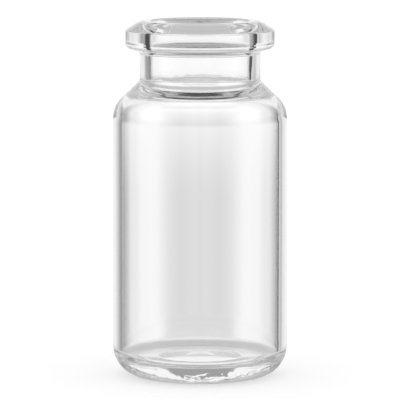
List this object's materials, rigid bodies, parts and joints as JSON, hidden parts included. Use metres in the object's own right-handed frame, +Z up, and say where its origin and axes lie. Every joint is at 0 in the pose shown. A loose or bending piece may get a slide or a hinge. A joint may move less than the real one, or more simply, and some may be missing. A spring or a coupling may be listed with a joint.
{
  "type": "glass sample vial",
  "caption": "Clear glass headspace sample vial: bevelled crimp flange on a short bored neck, rounded shoulder, straight body and a thick rounded base with a push-up.",
  "frame": {"origin": "middle of the base, on the plane that the vial stands on", "axes": "+Z up along the vial's axis, out of the mouth; X and Y alike, because the vial is round"},
  "size_m": [0.0226, 0.0226, 0.046],
  "materials": {
    "clear_glass": "clear, fire-polished"
  },
  "bodies": {
    "root": {"glass_vial": "clear_glass"}
  },
  "joints": []
}
